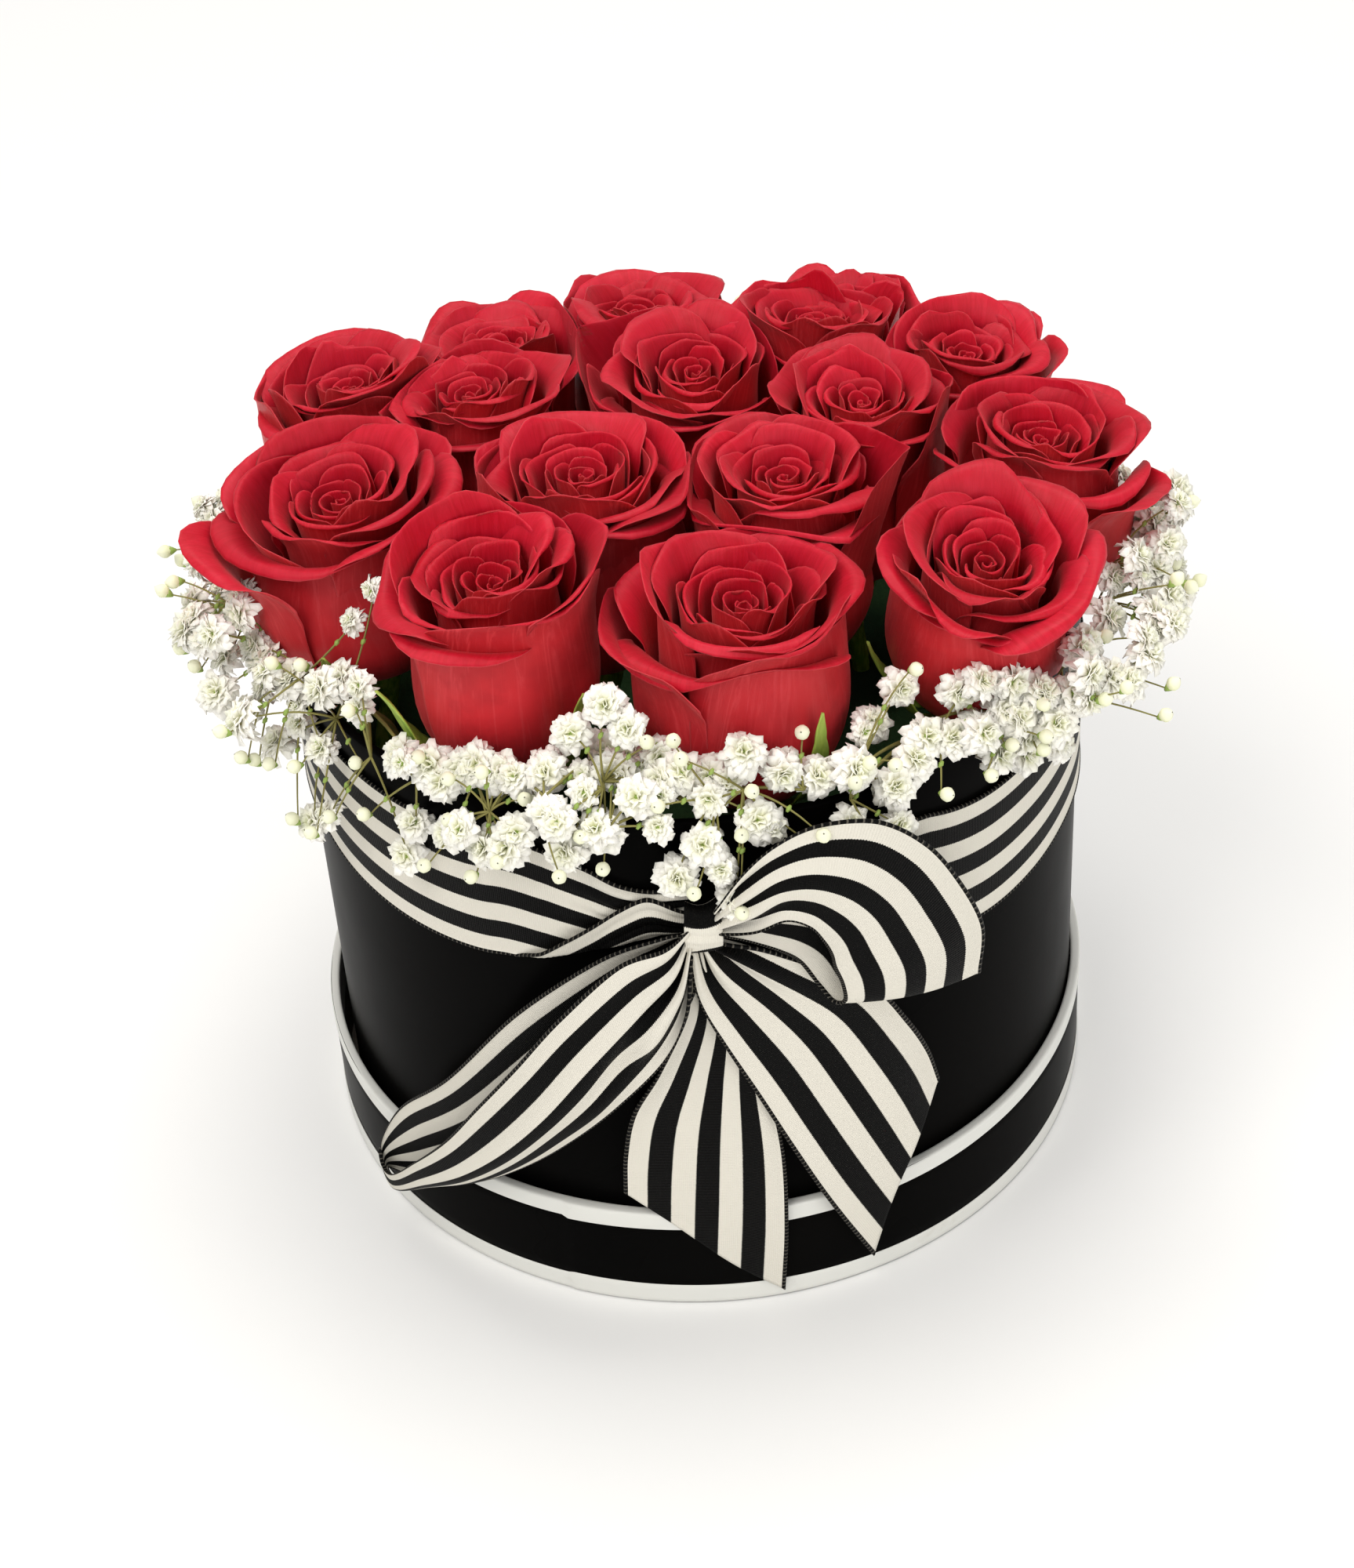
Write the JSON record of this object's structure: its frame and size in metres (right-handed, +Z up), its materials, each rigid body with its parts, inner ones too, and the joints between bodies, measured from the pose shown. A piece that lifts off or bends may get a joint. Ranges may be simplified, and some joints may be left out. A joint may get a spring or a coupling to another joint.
{
  "type": "flower box",
  "caption": "Round black hat box of red roses and gypsophila, tied with a striped ribbon bow and standing in its upturned lid.",
  "frame": {"origin": "centre of the lid's flat underside, on the surface that the box stands on", "axes": "+Z up along the lid's axis, -Y towards the front where the bow is tied, +X to the right seen from the front"},
  "size_m": [0.2521, 0.2319, 0.206],
  "materials": {
    "greyboard": "raw grey board",
    "black_paper": "satin black paper",
    "lining_paper": "matte black paper",
    "white_trim": "satin white paper",
    "striped_ribbon": "woven ribbon, cream and black stripes",
    "clear_film": "clear gloss",
    "floral_foam": "fine open foam",
    "rose_petal": "velvety red petal",
    "rose_green": "waxy green stem",
    "gypsophila": "soft white petal"
  },
  "bodies": {
    "lid": {"lid_face_paper": "black_paper", "lid_board": "greyboard", "lid_wall": "greyboard", "lid_band_paper": "black_paper", "lid_edge_trim": "white_trim", "lid_rim_trim": "white_trim"},
    "box": {"box_base": "greyboard", "box_wall": "greyboard", "box_wrap": "black_paper", "box_lining": "lining_paper", "ribbon_band": "striped_ribbon", "ribbon_knot": "striped_ribbon", "ribbon_front_tail": "striped_ribbon", "ribbon_right_tail": "striped_ribbon", "ribbon_left_loop": "striped_ribbon", "ribbon_right_loop": "striped_ribbon"},
    "insert": {"clear_liner": "clear_film", "floral_foam": "floral_foam", "rose_bloom_01": "rose_petal", "rose_bloom_02": "rose_petal", "rose_bloom_03": "rose_petal", "rose_bloom_04": "rose_petal", "rose_bloom_05": "rose_petal", "rose_bloom_06": "rose_petal", "rose_bloom_07": "rose_petal", "rose_bloom_08": "rose_petal", "rose_bloom_09": "rose_petal", "rose_bloom_10": "rose_petal", "rose_bloom_11": "rose_petal", "rose_bloom_12": "rose_petal", "rose_bloom_13": "rose_petal", "rose_bloom_14": "rose_petal", "rose_bloom_15": "rose_petal", "rose_bloom_16": "rose_petal", "rose_stem_01": "rose_green", "rose_stem_02": "rose_green", "rose_stem_03": "rose_green", "rose_stem_04": "rose_green", "rose_stem_05": "rose_green", "rose_stem_06": "rose_green", "rose_stem_07": "rose_green", "rose_stem_08": "rose_green", "rose_stem_09": "rose_green", "rose_stem_10": "rose_green", "rose_stem_11": "rose_green", "rose_stem_12": "rose_green", "rose_stem_13": "rose_green", "rose_stem_14": "rose_green", "rose_stem_15": "rose_green", "rose_stem_16": "rose_green", "gypsophila_01": "gypsophila", "gypsophila_02": "gypsophila", "gypsophila_03": "gypsophila", "gypsophila_04": "gypsophila", "gypsophila_05": "gypsophila", "gypsophila_06": "gypsophila", "gypsophila_07": "gypsophila", "gypsophila_08": "gypsophila", "gypsophila_09": "gypsophila", "gypsophila_10": "gypsophila"}
  },
  "joints": [
    {"name": "box_lift", "type": "slide", "parent": "lid", "child": "box", "axis": [0, 0, 1], "range_m": [0, 0.06]},
    {"name": "insert_lift", "type": "slide", "parent": "box", "child": "insert", "axis": [0, 0, 1], "range_m": [0, 0.16]}
  ]
}
